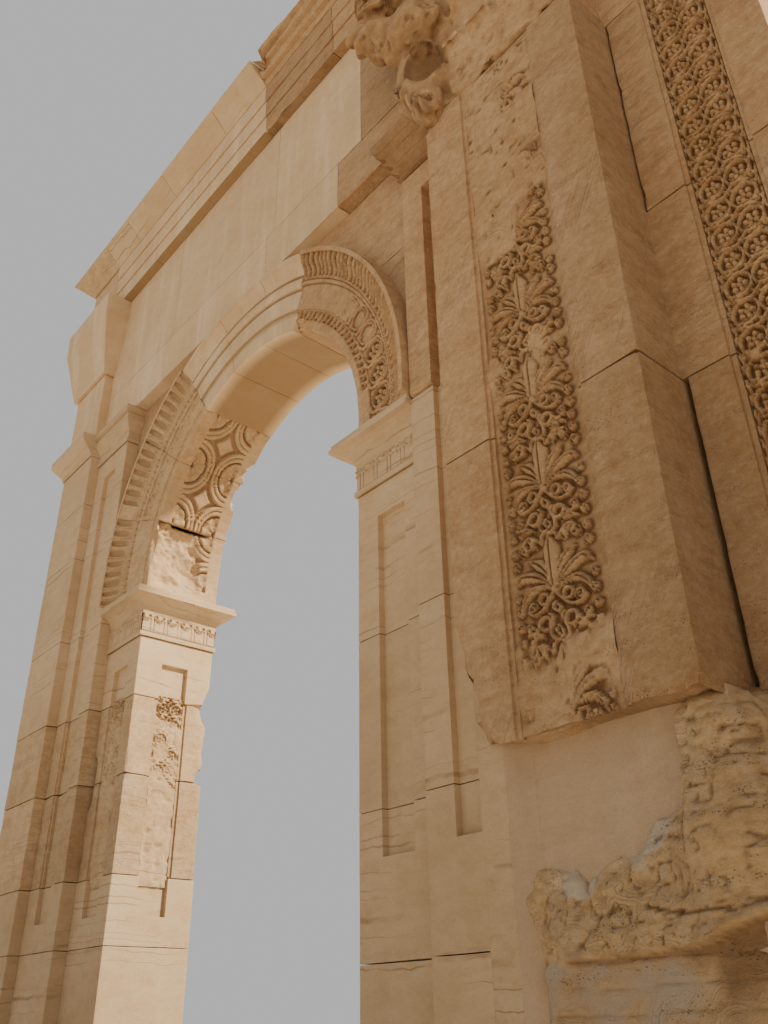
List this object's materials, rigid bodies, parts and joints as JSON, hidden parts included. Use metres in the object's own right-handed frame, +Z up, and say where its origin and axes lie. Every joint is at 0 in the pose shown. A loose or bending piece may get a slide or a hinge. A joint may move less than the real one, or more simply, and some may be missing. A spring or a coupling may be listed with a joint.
{
  "type": "triumphal arch",
  "caption": "Limestone triumphal arch, part ruined and part restored: a tall central passage between lower side arches, with pilasters, moulded archivolts and a splayed entablature.",
  "frame": {"origin": "on the ground, in the middle of the plan", "axes": "+X along the front, towards the right side arch; -Y out of the front that the picture shows; +Z up"},
  "size_m": [26.644, 3.37, 15.57],
  "materials": {
    "old_stone": "weathered golden limestone",
    "restored_stone": "smooth sawn limestone",
    "carved_stone": "carved and worn limestone",
    "eroded_stone": "rough eroded limestone"
  },
  "bodies": {
    "root": {"pier_plinths": "restored_stone", "left_outer_jamb": "old_stone", "right_outer_jamb": "old_stone", "left_inner_jamb": "old_stone", "right_inner_jamb": "old_stone", "left_outer_frame": "old_stone", "right_outer_frame": "old_stone", "left_inner_frame": "old_stone", "right_inner_frame": "old_stone", "left_corner_pilaster": "old_stone", "right_corner_pilaster": "old_stone", "left_corner_capital": "restored_stone", "right_corner_capital": "restored_stone", "left_upper_corner": "restored_stone", "right_upper_corner": "restored_stone", "left_boss_capital": "restored_stone", "right_boss_capital": "restored_stone", "left_side_imposts": "restored_stone", "right_side_imposts": "restored_stone", "left_small_capitals": "restored_stone", "right_small_capitals": "restored_stone", "left_side_arch": "carved_stone", "right_side_arch": "carved_stone", "left_spandrels": "old_stone", "right_spandrels": "old_stone", "left_upper_wall": "restored_stone", "right_upper_wall": "restored_stone", "left_architrave": "restored_stone", "right_architrave": "restored_stone", "left_crown": "restored_stone", "right_crown": "restored_stone", "left_giant_pilaster": "old_stone", "right_giant_pilaster": "old_stone", "left_eroded_foot": "eroded_stone", "left_giant_capital": "carved_stone", "right_giant_capital": "carved_stone", "giant_entablatures": "restored_stone", "left_central_jamb": "old_stone", "right_central_jamb": "old_stone", "central_imposts": "restored_stone", "central_arch": "carved_stone", "central_spandrels": "old_stone", "attic_pilasters": "restored_stone", "central_architrave": "carved_stone", "central_crown": "restored_stone"}
  },
  "joints": []
}
